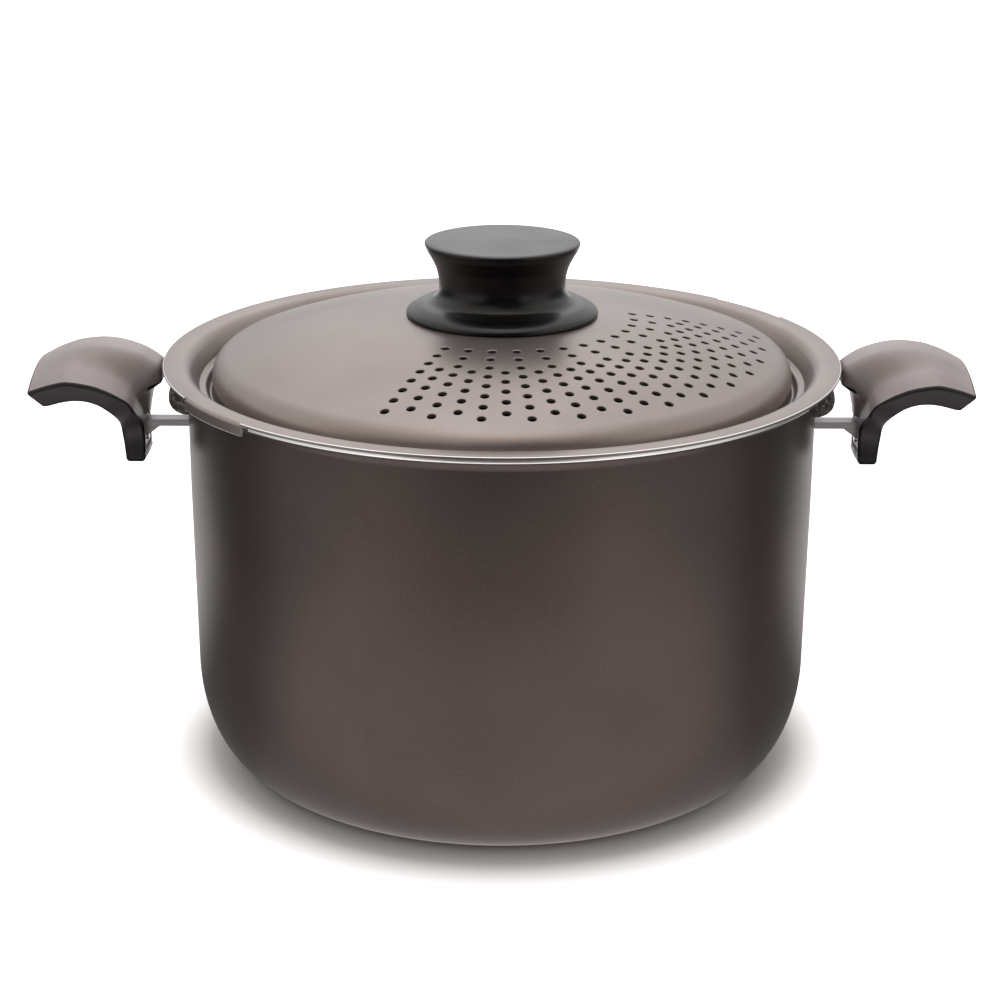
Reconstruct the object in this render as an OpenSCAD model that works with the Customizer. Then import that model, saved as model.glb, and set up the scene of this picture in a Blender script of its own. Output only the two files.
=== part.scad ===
// Deep pasta pot with a bayonet lid that carries the strainer holes.
// The pot stands on z = 0 with its axis on Z. The handles lie along X and the front is -Y.

/* [Pot] */
// Outside diameter of the wall under the rim
wall_d = 243.8; // [200:0.1:300]
// Thickness of the wall
wall_t = 2.0; // [1.6:0.1:3]
// Height from the base to the seat on top of the rim
pot_h = 158.8; // [110:0.1:220]
// Thickness of the base
base_t = 3.5; // [2:0.1:6]
// Width of the rounded corner, along the radius
corner_w = 22.3; // [14:0.1:40]
// Height of the rounded corner
corner_h = 39.8; // [20:0.1:60]
// How far the wall draws in below the handles
draft = 0.6; // [0.2:0.1:2]

/* [Rim] */
// How far the rim reaches out past the wall
rim_w = 7.6; // [7:0.1:12]
// Thickness of the rim at its cut edge
rim_t = 1.5; // [1:0.1:2]
// Radius of the roll from the wall into the rim, on the inside
rim_roll_r = 7.0; // [6:0.1:7.6]
// What is left of the rim past the wall where it is cut away beside the handles
rim_stub = 1.85; // [1:0.05:2.4]
// Angle of the cut-away from the left handle towards the front
cut_fore = 46.5; // [46:0.5:52]
// Angle of the cut-away from the left handle towards the back
cut_aft = 30.5; // [20:0.5:40]

/* [Lid] */
// Thickness of the lid's sheet
lid_t = 1.2; // [0.8:0.1:1.6]
// Gap between the rim's seat and the lid's flange
seat_gap = 0.1; // [0.05:0.05:0.3]
// Gap between the rim's edge and the tabs that hang outside it
tab_gap = 0.3; // [0.3:0.1:0.8]
// Gap between the pot's rolled rim and the lid's sunk wall
well_gap = 0.35; // [0.3:0.05:0.8]
// Slope of the lid's sunk wall
well_slope = 63; // [58:1:68]
// Radius of the bend from the flange into the sunk wall, at mid sheet
flange_bend_r = 5.1; // [4:0.1:5.5]
// Depth of the ledge below the flange
ledge_drop = 8.3; // [7:0.1:10]
// Width of the ledge
ledge_w = 3.4; // [3:0.1:5]
// Depth of the groove below the ledge
groove_drop = 3.2; // [2.6:0.1:5]
// Width of the groove at mid sheet
groove_w = 2.5; // [2.4:0.1:4]
// Height of the dome's top over the flange
dome_rise = 18.1; // [12:0.1:26]
// Fall of the dome from its middle to its shoulder
dome_fall = 15.3; // [12:0.1:18]
// Radius of the dome's shoulder, at mid sheet
shoulder_r = 8.0; // [4:0.1:8.4]

/* [Locking tabs] */
// Angle from the left handle to the tab's near end
tab_start = 27.8; // [20:0.1:30]
// Angle that a tab spans
tab_span = 17.5; // [12:0.1:18]
// Height of a tab below the top of the flange
tab_drop = 4.9; // [4.5:0.1:7]
// Outside radius of the bend along the top of a tab
tab_bend_r = 1.6; // [1.2:0.1:1.9]
// Angle that the inward hook spans, from the tab's near end
hook_span = 10.2; // [6:0.1:12]
// How far the hook reaches in from the tab
hook_reach = 3.4; // [2.5:0.1:3.8]

/* [Strainer holes] */
// Diameter of a strainer hole
hole_d = 3.2; // [2.5:0.1:4]
// Number of long rows
long_rows = 13; // [7:1:15]
// Holes in a long row
long_holes = 8; // [4:1:8]
// Holes in a short row, which starts further out
short_holes = 5; // [2:1:5]
// Distance between holes along a row
hole_pitch = 7.1; // [5.5:0.1:7.2]
// Radius of the innermost ring of holes
first_ring = 51; // [48:0.5:52]
// Radius of the first hole in a short row
short_ring = 69; // [66:0.5:70]
// Angle between long rows
row_step = 10.05; // [8:0.05:12]
// Angle of the middle row from the front, towards the right handle
strainer_turn = 36.2; // [20:0.1:40]

/* [Lock lugs] */
// Angle from the handle's line to each end of a lug
lug_half = 9.5; // [7:0.1:12]
// Angle that the stop at the lug's far end takes
lug_stop = 0.7; // [0.5:0.1:1.5]
// How far the lug's round belly stands out from the wall
lug_belly = 6.7; // [5:0.1:7]
// Height of the belly's rounded underside
belly_h = 6.5; // [5:0.1:8]
// Depth of the lug's bottom below the rim's seat
lug_low = 17.6; // [15:0.1:20]
// Clearance round the hook in the lug's slot
slot_gap = 0.5; // [0.3:0.05:0.7]

/* [Brackets] */
// Width of the bracket's arm
arm_w = 6.8; // [5:0.1:10]
// Thickness of the arm and of the tongue
arm_t = 2.7; // [2.5:0.1:3.5]
// Depth of the arm's top below the rim's seat
arm_drop = 24.6; // [23:0.1:26]
// Width of the tongue that the handle is screwed to
tongue_w = 14; // [12:0.1:18]
// Height of the tongue
tongue_h = 13.5; // [12:0.1:15]
// How far the tongue stands up over the arm
tongue_rise = 2.5; // [1:0.1:4]
// How deep the tongue sits behind the leg's inner face
tongue_sink = 1.2; // [0.4:0.1:1.5]
// Thickness of the two gussets under the arm
gusset_t = 1.2; // [0.8:0.1:2]
// Length of the gussets along the arm, out of the leg
gusset_l = 4.3; // [3:0.1:6]
// Height of the gussets at the leg
gusset_h = 3.3; // [2:0.1:5]

/* [Handles] */
// Distance from the wall to the leg's inner face
leg_gap = 16.5; // [14:0.1:20]
// Depth of the fan's centre below the rim's seat
fan_drop = 68.7; // [60:0.1:80]
// Half angle of the fan
fan_half = 24.5; // [20:0.1:28]
// Half angle over which the middle lobe reaches in to the rim in full
lobe_half = 5; // [4:0.5:8]
// Half angle at which the lobe has run out
lobe_end = 15; // [13:0.5:20]
// Half width of the leg at its waist
leg_half = 8.5; // [8:0.1:12]
// How much wider the leg is at its foot, on each side
foot_flare = 3; // [0:0.1:5]
// How far the handle reaches out from the leg's inner face
handle_reach = 42.6; // [40:0.1:50]
// Depth of the handle's flat foot below the rim's seat
foot_drop = 39.5; // [38.5:0.1:40.5]
// Clearance round the tongue in its pocket
pocket_gap = 0.05; // [0.02:0.01:0.3]

/* [Knob] */
// Diameter of the knob's foot
knob_foot_d = 74.2; // [60:0.1:80]
// Diameter of the knob's waist
knob_waist_d = 48.8; // [40:0.1:56]
// Diameter of the knob's top
knob_top_d = 59.8; // [50:0.1:66]
// Height of the knob's top over the top of the dome
knob_h = 27.6; // [22:0.1:36]
// Diameter of the threaded insert
insert_d = 10; // [8:0.1:14]
// Length of the threaded insert
insert_l = 13; // [10:0.1:16]

/* [Fasteners] */
// Diameter of the knob's screw
knob_screw_d = 5; // [4:0.5:6]
// Diameter of the handles' screws
handle_screw_d = 4; // [3:0.5:4.5]
// Radial clearance round a screw
screw_gap = 0.08; // [0.05:0.01:0.1]
// Thickness of the knob's washer
washer_t = 1.0; // [0.6:0.1:1.5]
// Thickness of a handle's washer
small_washer_t = 0.5; // [0.3:0.1:0.8]

/* [Hidden] */
$fn = 96;

wall_r = wall_d / 2;
inner_r = wall_r - wall_t;
rim_r = wall_r + rim_w;
// Depth under the rim down to which the wall is a plain cylinder
straight_h = 48;
under_z = pot_h + seat_gap;
flange_z = under_z + lid_t;
mid_z = under_z + lid_t / 2;
lid_r = rim_r + tab_gap + lid_t;

// The sunk wall lies well_gap off the pot's rolled rim.
well_off = rim_roll_r + well_gap + lid_t / 2;
well_x = inner_r + rim_roll_r - well_off * sin(well_slope);
well_y = pot_h - rim_roll_r + well_off * cos(well_slope);
bend_x = well_x + (mid_z - well_y) / tan(well_slope);
ledge_z = mid_z - ledge_drop;
ledge_x = bend_x - ledge_drop / tan(well_slope);
ledge_bend_r = 1.1;
groove_bend_r = 1.15;
groove_lean = 0.4;
dome_wall_r = ledge_x - ledge_w - groove_w;
// Share of the dome's fall that follows the fourth power, which flattens its middle
dome_quartic = 0.2;
dome_steps = 9;
// Width of the shoulder, from the dome's edge to its wall
shoulder_w = 6.2;
dome_edge_r = dome_wall_r - shoulder_w;

hook_z = flange_z - tab_drop;
tab_in_r = lid_r - lid_t;
hook_in_r = tab_in_r - hook_reach;

arm_z = pot_h - arm_drop;
tongue_z = arm_z + tongue_rise;
tongue_low = tongue_z - tongue_h;
leg_x = wall_r + leg_gap;
tongue_x = leg_x + tongue_sink;
fan_z = pot_h - fan_drop;
fan_steps = 18;
// Heights from the seat between which the fan narrows to the leg's waist, then widens to its foot
leg_from = -9;
leg_to = -24;
foot_from = -33;
foot_to = -36.6;

// The handle's screw goes through the leg into the tongue, with its head on the washer's seat.
screw_rise = 4;
screw_z = tongue_low + screw_rise;
web_t = 1.6;
seat_x = tongue_x + arm_t + web_t;
head_t = 1.8;
handle_head_d = 7.4;
small_washer_d = 8;
washer_room = 0.6;
screw_stub = 0.8;
well_l = 12;
drive_l = 3.6;
drive_w = 0.9;

knob_z = flange_z + dome_rise;
knob_screw_l = 12;
knob_head_d = 10;
knob_head_t = 3;
knob_washer_d = 14;
insert_gap = 0.05;

function unit(v) = v / norm(v);

// Points of an arc that rounds the corner p between a and b
function corner(a, p, b, r, n) =
    let(u = unit(p - a), v = unit(b - p), side = cross(u, v) > 0 ? 1 : -1,
        turn = acos(u * v), start = p - u * r * tan(turn / 2),
        centre = start + side * r * [-u[1], u[0]],
        from = atan2(start[1] - centre[1], start[0] - centre[0]))
    [for (i = [0:n]) centre + r * [cos(from + side * turn * i / n), sin(from + side * turn * i / n)]];

// A polyline with its inner corners rounded by the radii given
function rounded(p, r, n = 5) = [
    p[0],
    for (i = [1:len(p) - 2]) each (r[i] > 0 ? corner(p[i - 1], p[i], p[i + 1], r[i], n) : [p[i]]),
    p[len(p) - 1]];

// A smooth curve through the points given
function spline(p, n = 4) = [
    for (i = [0:len(p) - 2], j = [0:n - 1])
        let(t = j / n, a = p[max(i - 1, 0)], b = p[i], c = p[i + 1], d = p[min(i + 2, len(p) - 1)])
        (2 * b + (c - a) * t + (2 * a - 5 * b + 4 * c - d) * t * t + (3 * b - a - 3 * c + d) * t * t * t) / 2,
    p[len(p) - 1]];

function normal_at(p, i) =
    let(v = unit(p[min(i + 1, len(p) - 1)] - p[max(i - 1, 0)])) [-v[1], v[0]];

// Outline of a sheet of thickness t along its middle line p
function sheet(p, t) = concat(
    [for (i = [0:len(p) - 1]) p[i] + normal_at(p, i) * t / 2],
    [for (i = [len(p) - 1:-1:0]) p[i] - normal_at(p, i) * t / 2]);

function arc(c, r, from, to, n) =
    [for (i = [0:n]) let(a = from + (to - from) * i / n) c + [r[0] * cos(a), r[1] * sin(a)]];

// Height of the dome's upper face at a radius
function dome_z(r) =
    let(s = r / dome_edge_r)
    flange_z + dome_rise - dome_fall * ((1 - dome_quartic) * s * s + dome_quartic * pow(s, 4));

// A ring sector round the axis, between two angles measured from the left handle to the front
module left_sector(from, to, outline) {
    rotate([0, 0, 180 + from])
        rotate_extrude(angle = to - from)
            polygon(outline);
}

function box_outline(r0, r1, z0, z1) = [[r0, z0], [r1, z0], [r1, z1], [r0, z1]];

module pot_body() {
    low_r = wall_r - draft;
    roll = [inner_r + rim_roll_r, pot_h - rim_roll_r];
    outside = concat(
        [[0, 0]],
        arc([low_r - corner_w, corner_h], [corner_w, corner_h], -90, 0, 10),
        [[wall_r, pot_h - straight_h]],
        arc(roll, [rim_roll_r - wall_t, rim_roll_r - wall_t], 180, 90, 6),
        [[rim_r, pot_h - rim_t]]);
    inside = concat(
        [[rim_r, pot_h]],
        arc(roll, [rim_roll_r, rim_roll_r], 90, 180, 6),
        [[inner_r, pot_h - straight_h]],
        arc([low_r - corner_w, corner_h], [corner_w - wall_t, corner_h - base_t], 0, -90, 10),
        [[0, base_t]]);
    color([0.30, 0.27, 0.26])
        difference() {
            rotate_extrude() polygon(concat(outside, inside));
            for (side = [0, 180])
                rotate([0, 0, side])
                    left_sector(-cut_aft, cut_fore,
                        box_outline(wall_r + rim_stub, rim_r + 5, pot_h - rim_roll_r, pot_h + 5));
        }
}

module lock_lug() {
    // Gap between the lug and the rim's stub and roll
    gap = 0.1;
    // How far the catch stops inside the tab, and its top under the lid
    catch_gap = 0.6;
    top_gap = 0.3;
    // The belly's shoulder, in from the belly and up from its widest place
    shoulder_in = 1.6;
    shoulder_up = 3.1;
    inner = wall_r + rim_stub + gap;
    roll_z = pot_h - rim_roll_r - gap;
    slot_low = hook_z - slot_gap;
    slot_high = hook_z + lid_t + slot_gap;
    slot_r = hook_in_r - slot_gap;
    catch_r = tab_in_r - catch_gap;
    top_z = pot_h - top_gap;
    belly_z = pot_h - lug_low + belly_h;
    low = concat(
        [[wall_r, roll_z]],
        arc([wall_r, belly_z], [lug_belly, belly_h], -90, 0, 6),
        [[wall_r + lug_belly - shoulder_in, belly_z + shoulder_up], [slot_r, slot_low]]);
    high = [[slot_r, slot_high], [catch_r, slot_high], [catch_r, top_z], [inner, top_z], [inner, roll_z]];
    stop = [[catch_r, slot_low], [catch_r, top_z], [inner, top_z], [inner, roll_z]];
    color([0.24, 0.22, 0.21]) {
        left_sector(lug_stop / 2 - lug_half, lug_half, concat(low, high));
        left_sector(-lug_half, lug_stop - lug_half, concat(low, stop));
    }
}

// Places a piece that is drawn for the left handle, with x as the distance out from the axis
module at_left() {
    mirror([1, 0, 0]) children();
}

module at_right() {
    mirror([0, 1, 0]) children();
}

module bracket() {
    // How far the arm and the gussets run into the tongue
    lap = 0.5;
    under = arm_z - arm_t;
    gusset = [[lap, under + lap], [-tongue_sink - gusset_l, under + lap], [-tongue_sink - gusset_l, under],
        [-tongue_sink, under - gusset_h], [lap, under - gusset_h]];
    color([0.62, 0.61, 0.60])
        difference() {
            union() {
                translate([inner_r, -arm_w / 2, under])
                    cube([tongue_x + lap - inner_r, arm_w, arm_t]);
                translate([tongue_x, -tongue_w / 2, tongue_low])
                    cube([arm_t, tongue_w, tongue_h]);
                for (side = [-1, 1])
                    translate([tongue_x, side * (arm_w - gusset_t) / 2 + gusset_t / 2, 0])
                        rotate([90, 0, 0])
                            linear_extrude(gusset_t)
                                polygon(gusset);
            }
            cylinder(r = wall_r, h = pot_h, $fn = 180);
            translate([tongue_x - 1, 0, screw_z])
                rotate([0, 90, 0])
                    cylinder(d = handle_screw_d + 2 * screw_gap, h = arm_t + 2);
        }
}

// The grip's outline at the fan's two ends, out from the leg's inner face and up from the seat:
// along the arched top, down the leg's inner face, then back up the finger side
edge_top = [[42.6, -1.6], [35.6, 1.3], [30.6, 2.9], [25.9, 3.6], [17.6, 1.9], [12.4, -0.5],
    [8.6, -2.9], [4.8, -6], [3.5, -7.8], [2.9, -8.9]];
edge_leg = [[2.5, -10.2], [2.2, -11.8], [1.9, -14], [1.4, -17], [1, -21], [0.9, -26],
    [0.9, -34], [0.4, -41.5]];
// The same outline in the middle, where the top runs on as a lobe that reaches in to the rim
middle_top = [[42.6, -1.6], [35.6, 2.2], [30.6, 4.2], [25.9, 5.6], [18.6, 6.5], [12.6, 6.2],
    [6.3, 4.8], [0.3, 2.45], [-5.2, -1.2], [-6.4, -2.8]];
middle_leg = [[-6.4, -9.2], [-3.6, -9.2], [-2.4, -11.2], [-1.5, -14.5], [-0.7, -19], [-0.2, -24],
    [0.3, -33], [0.6, -41.5]];
grip_under = [[7.6, -41.5], [9.6, -26], [10.4, -18.5], [12.8, -10.6], [18, -6.6], [23.7, -5.5],
    [29.2, -6.3], [34.7, -8.1], [36.9, -8.1]];

function outer_side(top, leg) = concat(spline(top, 2), leg);
function finger_side() = spline(grip_under, 2);

function ease(t) = let(u = min(1, max(0, t))) u * u * (3 - 2 * u);

// Share of the lobe in the outline at an angle from the handle's middle
function lobe_share(angle) =
    1 - ease((abs(angle) - lobe_half) / (lobe_end - lobe_half));

// Half width at a height from the seat: the fan's own, drawn in to the leg's waist, then its foot
function half_at(up) =
    let(waist = ease((leg_from - up) / (leg_from - leg_to)))
    (fan_drop + up) * sin(fan_half) * (1 - waist) + leg_half * waist
        + foot_flare * ease((foot_from - up) / (foot_from - foot_to));

// The handle's outline in the plane that leans by an angle, as points in space
function fan_ring(angle) =
    let(edge = outer_side(edge_top, edge_leg),
        middle = outer_side(middle_top, middle_leg),
        share = lobe_share(angle),
        outer = [for (i = [0:len(edge) - 1]) edge[i] + (middle[i] - edge[i]) * share])
    [for (p = concat(outer, finger_side()))
        let(reach = p[0] * (p[0] > 0 ? handle_reach / edge_top[0][0] : 1))
        [leg_x + reach, half_at(p[1]) * sin(angle) / sin(fan_half), fan_z + (fan_drop + p[1]) * cos(angle)]];

// Triangles that close a ring, from its outer point i and its finger point j at the foot to the tip
function zipped(ring, i, j) =
    let(last = len(ring) - 1)
    i == 0 && j == last ? [] :
    j == last || (i > 0 && norm(ring[i - 1] - ring[j]) < norm(ring[i] - ring[j + 1]))
        ? concat([[i, j, i - 1]], zipped(ring, i - 1, j))
        : concat([[i, j, j + 1]], zipped(ring, i, j + 1));

// Solid through the outlines, which fan out from a line under the handle
module grip() {
    rings = [for (i = [0:fan_steps]) fan_ring(fan_half * (2 * i / fan_steps - 1))];
    n = len(rings[0]);
    foot = n - len(finger_side());
    cap = zipped(rings[0], foot - 1, foot);
    points = [for (ring = rings) each ring];
    start = [for (t = cap) [t[2], t[1], t[0]]];
    end = [for (t = cap) [for (v = t) fan_steps * n + v]];
    sides = [for (k = [0:fan_steps - 1], i = [0:n - 1]) each
        let(a = k * n + i, b = k * n + (i + 1) % n)
        [[a, b, a + n], [b, b + n, a + n]]];
    polyhedron(points = points, faces = concat(start, end, sides), convexity = 6);
}

module handle() {
    gap = pocket_gap;
    // Size of the block that cuts the foot flat
    block = 80;
    color([0.20, 0.18, 0.18])
        difference() {
            grip();
            translate([wall_r, -block / 2, pot_h - foot_drop - block])
                cube(block);
            translate([wall_r, -tongue_w / 2 - gap, tongue_low - gap])
                cube([tongue_x + arm_t + gap - wall_r, tongue_w + 2 * gap, tongue_h + 2 * gap]);
            translate([leg_x, 0, screw_z])
                rotate([0, 90, 0])
                    cylinder(d = handle_screw_d + 2 * screw_gap, h = well_l);
            translate([seat_x, 0, screw_z])
                rotate([0, 90, 0])
                    cylinder(d = small_washer_d + washer_room, h = well_l);
        }
}

module handle_washer() {
    color([0.70, 0.70, 0.71])
        translate([seat_x, 0, screw_z])
            rotate([0, 90, 0])
                difference() {
                    cylinder(d = small_washer_d, h = small_washer_t);
                    translate([0, 0, -1])
                        cylinder(d = handle_screw_d + 2 * screw_gap, h = small_washer_t + 2);
                }
}

module handle_screw() {
    tip = tongue_x - screw_stub;
    head = seat_x + small_washer_t;
    color([0.66, 0.66, 0.67])
        translate([0, 0, screw_z])
            rotate([0, 90, 0])
                difference() {
                    union() {
                        translate([0, 0, tip])
                            cylinder(d = handle_screw_d, h = head - tip + 0.5);
                        translate([0, 0, head])
                            cylinder(d = handle_head_d, h = head_t);
                    }
                    cross_recess(head + head_t, 1.1);
                }
}

// A cross-shaped drive cut down from height z
module cross_recess(z, depth) {
    for (turn = [0, 90])
        rotate([0, 0, turn])
            translate([-drive_l / 2, -drive_w / 2, z - depth])
                cube([drive_l, drive_w, depth + 1]);
}

// Middle line of the lid's sheet, from the screw's hole out to the rim
function lid_path() =
    let(hole = (knob_screw_d + 2 * screw_gap) / 2,
        edge = dome_edge_r,
        step = 0.5,
        slope = (dome_z(edge) - dome_z(edge - step)) / step,
        shoulder = [dome_wall_r, dome_z(edge) - lid_t / 2 + slope * (dome_wall_r - edge)],
        groove_z = ledge_z - groove_drop,
        points = concat(
            [for (i = [0:dome_steps]) let(r = hole + (edge - hole) * i / dome_steps) [r, dome_z(r) - lid_t / 2]],
            [shoulder, [dome_wall_r, groove_z], [dome_wall_r + groove_w, groove_z],
                [dome_wall_r + groove_w + groove_lean, ledge_z], [ledge_x, ledge_z],
                [bend_x, mid_z], [lid_r, mid_z]]),
        plain = [for (i = [0:dome_steps]) 0],
        radii = concat(plain, [shoulder_r, groove_bend_r, groove_bend_r, ledge_bend_r, ledge_bend_r,
            flange_bend_r, 0]))
    rounded(points, radii);

module tab() {
    // How far the tab and the hook run into what they hang from
    lap = 0.02;
    skirt = concat(
        arc([lid_r - tab_bend_r, flange_z - tab_bend_r], [tab_bend_r, tab_bend_r], 90, 0, 5),
        [[lid_r, hook_z], [tab_in_r, hook_z], [tab_in_r, under_z + lap], [lid_r - tab_bend_r, under_z + lap]]);
    left_sector(tab_start, tab_start + tab_span, skirt);
    left_sector(tab_start, tab_start + hook_span,
        box_outline(hook_in_r, tab_in_r + lid_t / 2, hook_z, hook_z + lid_t));
}

module strainer_lid() {
    front = 270;
    middle = front + strainer_turn;
    color([0.55, 0.51, 0.50])
        difference() {
            union() {
                difference() {
                    rotate_extrude() polygon(sheet(lid_path(), lid_t));
                    for (side = [0, 180])
                        rotate([0, 0, side])
                            left_sector(tab_start, tab_start + tab_span,
                                box_outline(lid_r - tab_bend_r, lid_r + 2, under_z - 1, flange_z + 1));
                }
                for (side = [0, 180])
                    rotate([0, 0, side])
                        tab();
            }
            for (i = [0:long_rows - 1], j = [0:long_holes - 1])
                strainer_hole(middle + (i - (long_rows - 1) / 2) * row_step, first_ring + j * hole_pitch);
            for (i = [0:long_rows - 2], j = [0:short_holes - 1])
                strainer_hole(middle + (i + 1 - long_rows / 2) * row_step, short_ring + j * hole_pitch);
        }
}

module strainer_hole(angle, r) {
    // How far the cutter runs past the sheet on both sides
    through = 3;
    rotate([0, 0, angle])
        translate([r, 0, dome_z(r) - lid_t - through])
            cylinder(d = hole_d, h = lid_t + 2 * through, $fn = 24);
}

module knob() {
    foot = knob_foot_d / 2;
    waist = knob_waist_d / 2;
    top = knob_top_d / 2;
    h = knob_h;
    seat = 0.05;
    ring = 6;
    recess = 1.5;
    boss = insert_d / 2 + 5;
    side = spline([[foot, dome_z(foot) + seat + 0.6], [foot - 0.2, dome_z(foot) + 1.7],
        [foot - 1.6, dome_z(foot) + 2.8], [foot - 5, dome_z(foot) + 4.1],
        [waist + 3.2, h * 0.22 + knob_z - 2], [waist + 0.8, knob_z + h * 0.24],
        [waist, knob_z + h * 0.36], [waist + 0.3, knob_z + h * 0.5], [waist + 1.3, knob_z + h * 0.64],
        [top - 2.3, knob_z + h * 0.78], [top - 0.7, knob_z + h * 0.88], [top, knob_z + h * 0.945],
        [top - 0.3, knob_z + h * 0.975], [top - 1.4, knob_z + h - 0.35]]);
    under = [[foot - 0.7, dome_z(foot - 0.7) + seat], [foot - ring, dome_z(foot - ring) + seat],
        [foot - ring - 0.5, dome_z(foot - ring) + recess], [boss + 0.5, knob_z + recess],
        [boss, knob_z + seat], [0, knob_z + seat]];
    color([0.09, 0.08, 0.08])
        difference() {
            rotate_extrude()
                polygon(concat([[0, knob_z + h]], [for (i = [len(side) - 1:-1:0]) side[i]], under));
            translate([0, 0, knob_z - 1])
                cylinder(d = insert_d + 2 * insert_gap, h = insert_l + 1 + insert_gap);
        }
}

module knob_insert() {
    color([0.76, 0.60, 0.30])
        translate([0, 0, knob_z + insert_gap])
            difference() {
                cylinder(d = insert_d, h = insert_l - insert_gap);
                translate([0, 0, -1])
                    cylinder(d = knob_screw_d + 2 * screw_gap, h = insert_l - 1);
            }
}

module knob_washer() {
    color([0.72, 0.72, 0.73])
        translate([0, 0, knob_z - lid_t - washer_t - 0.15])
            difference() {
                cylinder(d = knob_washer_d, h = washer_t);
                translate([0, 0, -1])
                    cylinder(d = knob_screw_d + 2 * screw_gap, h = washer_t + 2);
            }
}

module knob_screw() {
    head_top = knob_z - lid_t - washer_t - 0.2;
    color([0.68, 0.68, 0.69])
        difference() {
            union() {
                translate([0, 0, head_top - knob_head_t])
                    cylinder(d = knob_head_d, h = knob_head_t);
                translate([0, 0, head_top - 0.5])
                    cylinder(d = knob_screw_d, h = knob_screw_l + 0.5);
            }
            translate([0, 0, head_top - knob_head_t])
                mirror([0, 0, 1])
                    cross_recess(0, 1.6);
        }
}

pot_body();
lock_lug();  // lock_lug_left
rotate([0, 0, 180]) lock_lug();  // lock_lug_right
at_left() bracket();  // bracket_left
at_right() bracket();  // bracket_right
at_left() handle();  // handle_left
at_right() handle();  // handle_right
at_left() handle_washer();  // handle_washer_left
at_right() handle_washer();  // handle_washer_right
at_left() handle_screw();  // handle_screw_left
at_right() handle_screw();  // handle_screw_right
strainer_lid();
knob();
knob_insert();
knob_washer();
knob_screw();
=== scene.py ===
"""Looks of a deep pasta pot with a strainer lid that turns to lock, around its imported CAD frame."""
import math

import bmesh
import bpy
import numpy as np
from mathutils import Matrix, Vector
from mathutils.geometry import delaunay_2d_cdt


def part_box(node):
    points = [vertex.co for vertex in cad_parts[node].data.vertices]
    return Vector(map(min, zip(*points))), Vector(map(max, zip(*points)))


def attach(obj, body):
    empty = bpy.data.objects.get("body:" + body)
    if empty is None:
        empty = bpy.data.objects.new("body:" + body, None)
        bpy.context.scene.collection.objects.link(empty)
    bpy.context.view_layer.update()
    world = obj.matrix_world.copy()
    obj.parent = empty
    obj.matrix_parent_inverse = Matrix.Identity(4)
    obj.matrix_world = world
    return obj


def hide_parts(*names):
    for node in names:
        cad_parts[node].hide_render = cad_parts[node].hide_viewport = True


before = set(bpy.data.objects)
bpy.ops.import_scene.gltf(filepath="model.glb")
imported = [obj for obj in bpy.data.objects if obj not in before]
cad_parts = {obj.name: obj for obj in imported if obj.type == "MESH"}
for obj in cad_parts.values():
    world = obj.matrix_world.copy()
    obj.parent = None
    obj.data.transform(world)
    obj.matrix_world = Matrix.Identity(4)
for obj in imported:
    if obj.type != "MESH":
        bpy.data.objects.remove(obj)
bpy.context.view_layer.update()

MM = 0.001

# Sizes read from the frame, in metres
POT_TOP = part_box("pot_body")[1].z
RIM_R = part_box("pot_body")[1].y
LID_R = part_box("strainer_lid")[1].y
DOME_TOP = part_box("strainer_lid")[1].z
KNOB_FOOT_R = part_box("knob")[1].x
KNOB_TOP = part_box("knob")[1].z
LUG_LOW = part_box("lock_lug_left")[0].z
LUG_R = -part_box("lock_lug_left")[0].x
SEAT_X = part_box("handle_washer_right")[0].x
SCREW_Z = (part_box("handle_washer_right")[0].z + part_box("handle_washer_right")[1].z) / 2
FOOT_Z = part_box("handle_right")[0].z

# Pot. Angles are in degrees. Those of the cut in its rim, and of the lid's tabs and hooks, start at
# the nearer handle and are positive towards the front on the left and the back on the right.
WALL_R = 121.9 * MM
WALL_T = 2.0 * MM
BASE_T = 3.5 * MM
CORNER_W = 22.3 * MM
CORNER_H = 39.8 * MM
DRAFT = 0.6 * MM
STRAIGHT_H = 48 * MM
RIM_T = 1.5 * MM
RIM_EASE = 0.25 * MM
RIM_ROLL_R = 7.0 * MM
RIM_STUB_R = WALL_R + 1.85 * MM
CUT_FORE = 46.5
CUT_AFT = 30.5

# Lid
LID_T = 1.2 * MM
LID_SEAT = 0.1 * MM
FLANGE_TOP = POT_TOP + LID_SEAT + LID_T
FLANGE_EASE = 0.28 * MM
FLANGE_BEND_R = 5.1 * MM
DOME_RISE = DOME_TOP - FLANGE_TOP
DOME_FALL = 15.3 * MM
DOME_QUARTIC = 0.2
CROWN_R = 44 * MM
BORE_R = (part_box("knob_screw")[1].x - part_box("knob_screw")[0].x) / 4
ROLL_GAP = 0.35 * MM
WELL_SLOPE = math.radians(63)
WELL_OFF = RIM_ROLL_R + ROLL_GAP + LID_T / 2
LEDGE_DROP = 8.3 * MM
LEDGE_W = 3.4 * MM
LEDGE_LEAN = 0.4 * MM
LEDGE_BEND_R = 1.1 * MM
GROOVE_DROP = 3.2 * MM
GROOVE_W = 2.5 * MM
GROOVE_BEND_R = 1.15 * MM
SHOULDER_R = 8.0 * MM
SHOULDER_W = 6.2 * MM
TAB_START = 27.8
TAB_SPAN = 17.5
TAB_LOW = FLANGE_TOP - 4.9 * MM
TAB_BEND_R = 1.6 * MM
HOOK_SPAN = 10.2
HOOK_REACH = 3.4 * MM

# Strainer holes
HOLE_R = 1.6 * MM
HOLE_LIP = 0.22 * MM
LONG_ROWS = 13
LONG_HOLES = 8
SHORT_HOLES = 5
HOLE_PITCH = 7.1 * MM
FIRST_RING = 51 * MM
SHORT_RING = 69 * MM
ROW_STEP = 10.05
STRAINER_TURN = 36.2

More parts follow.
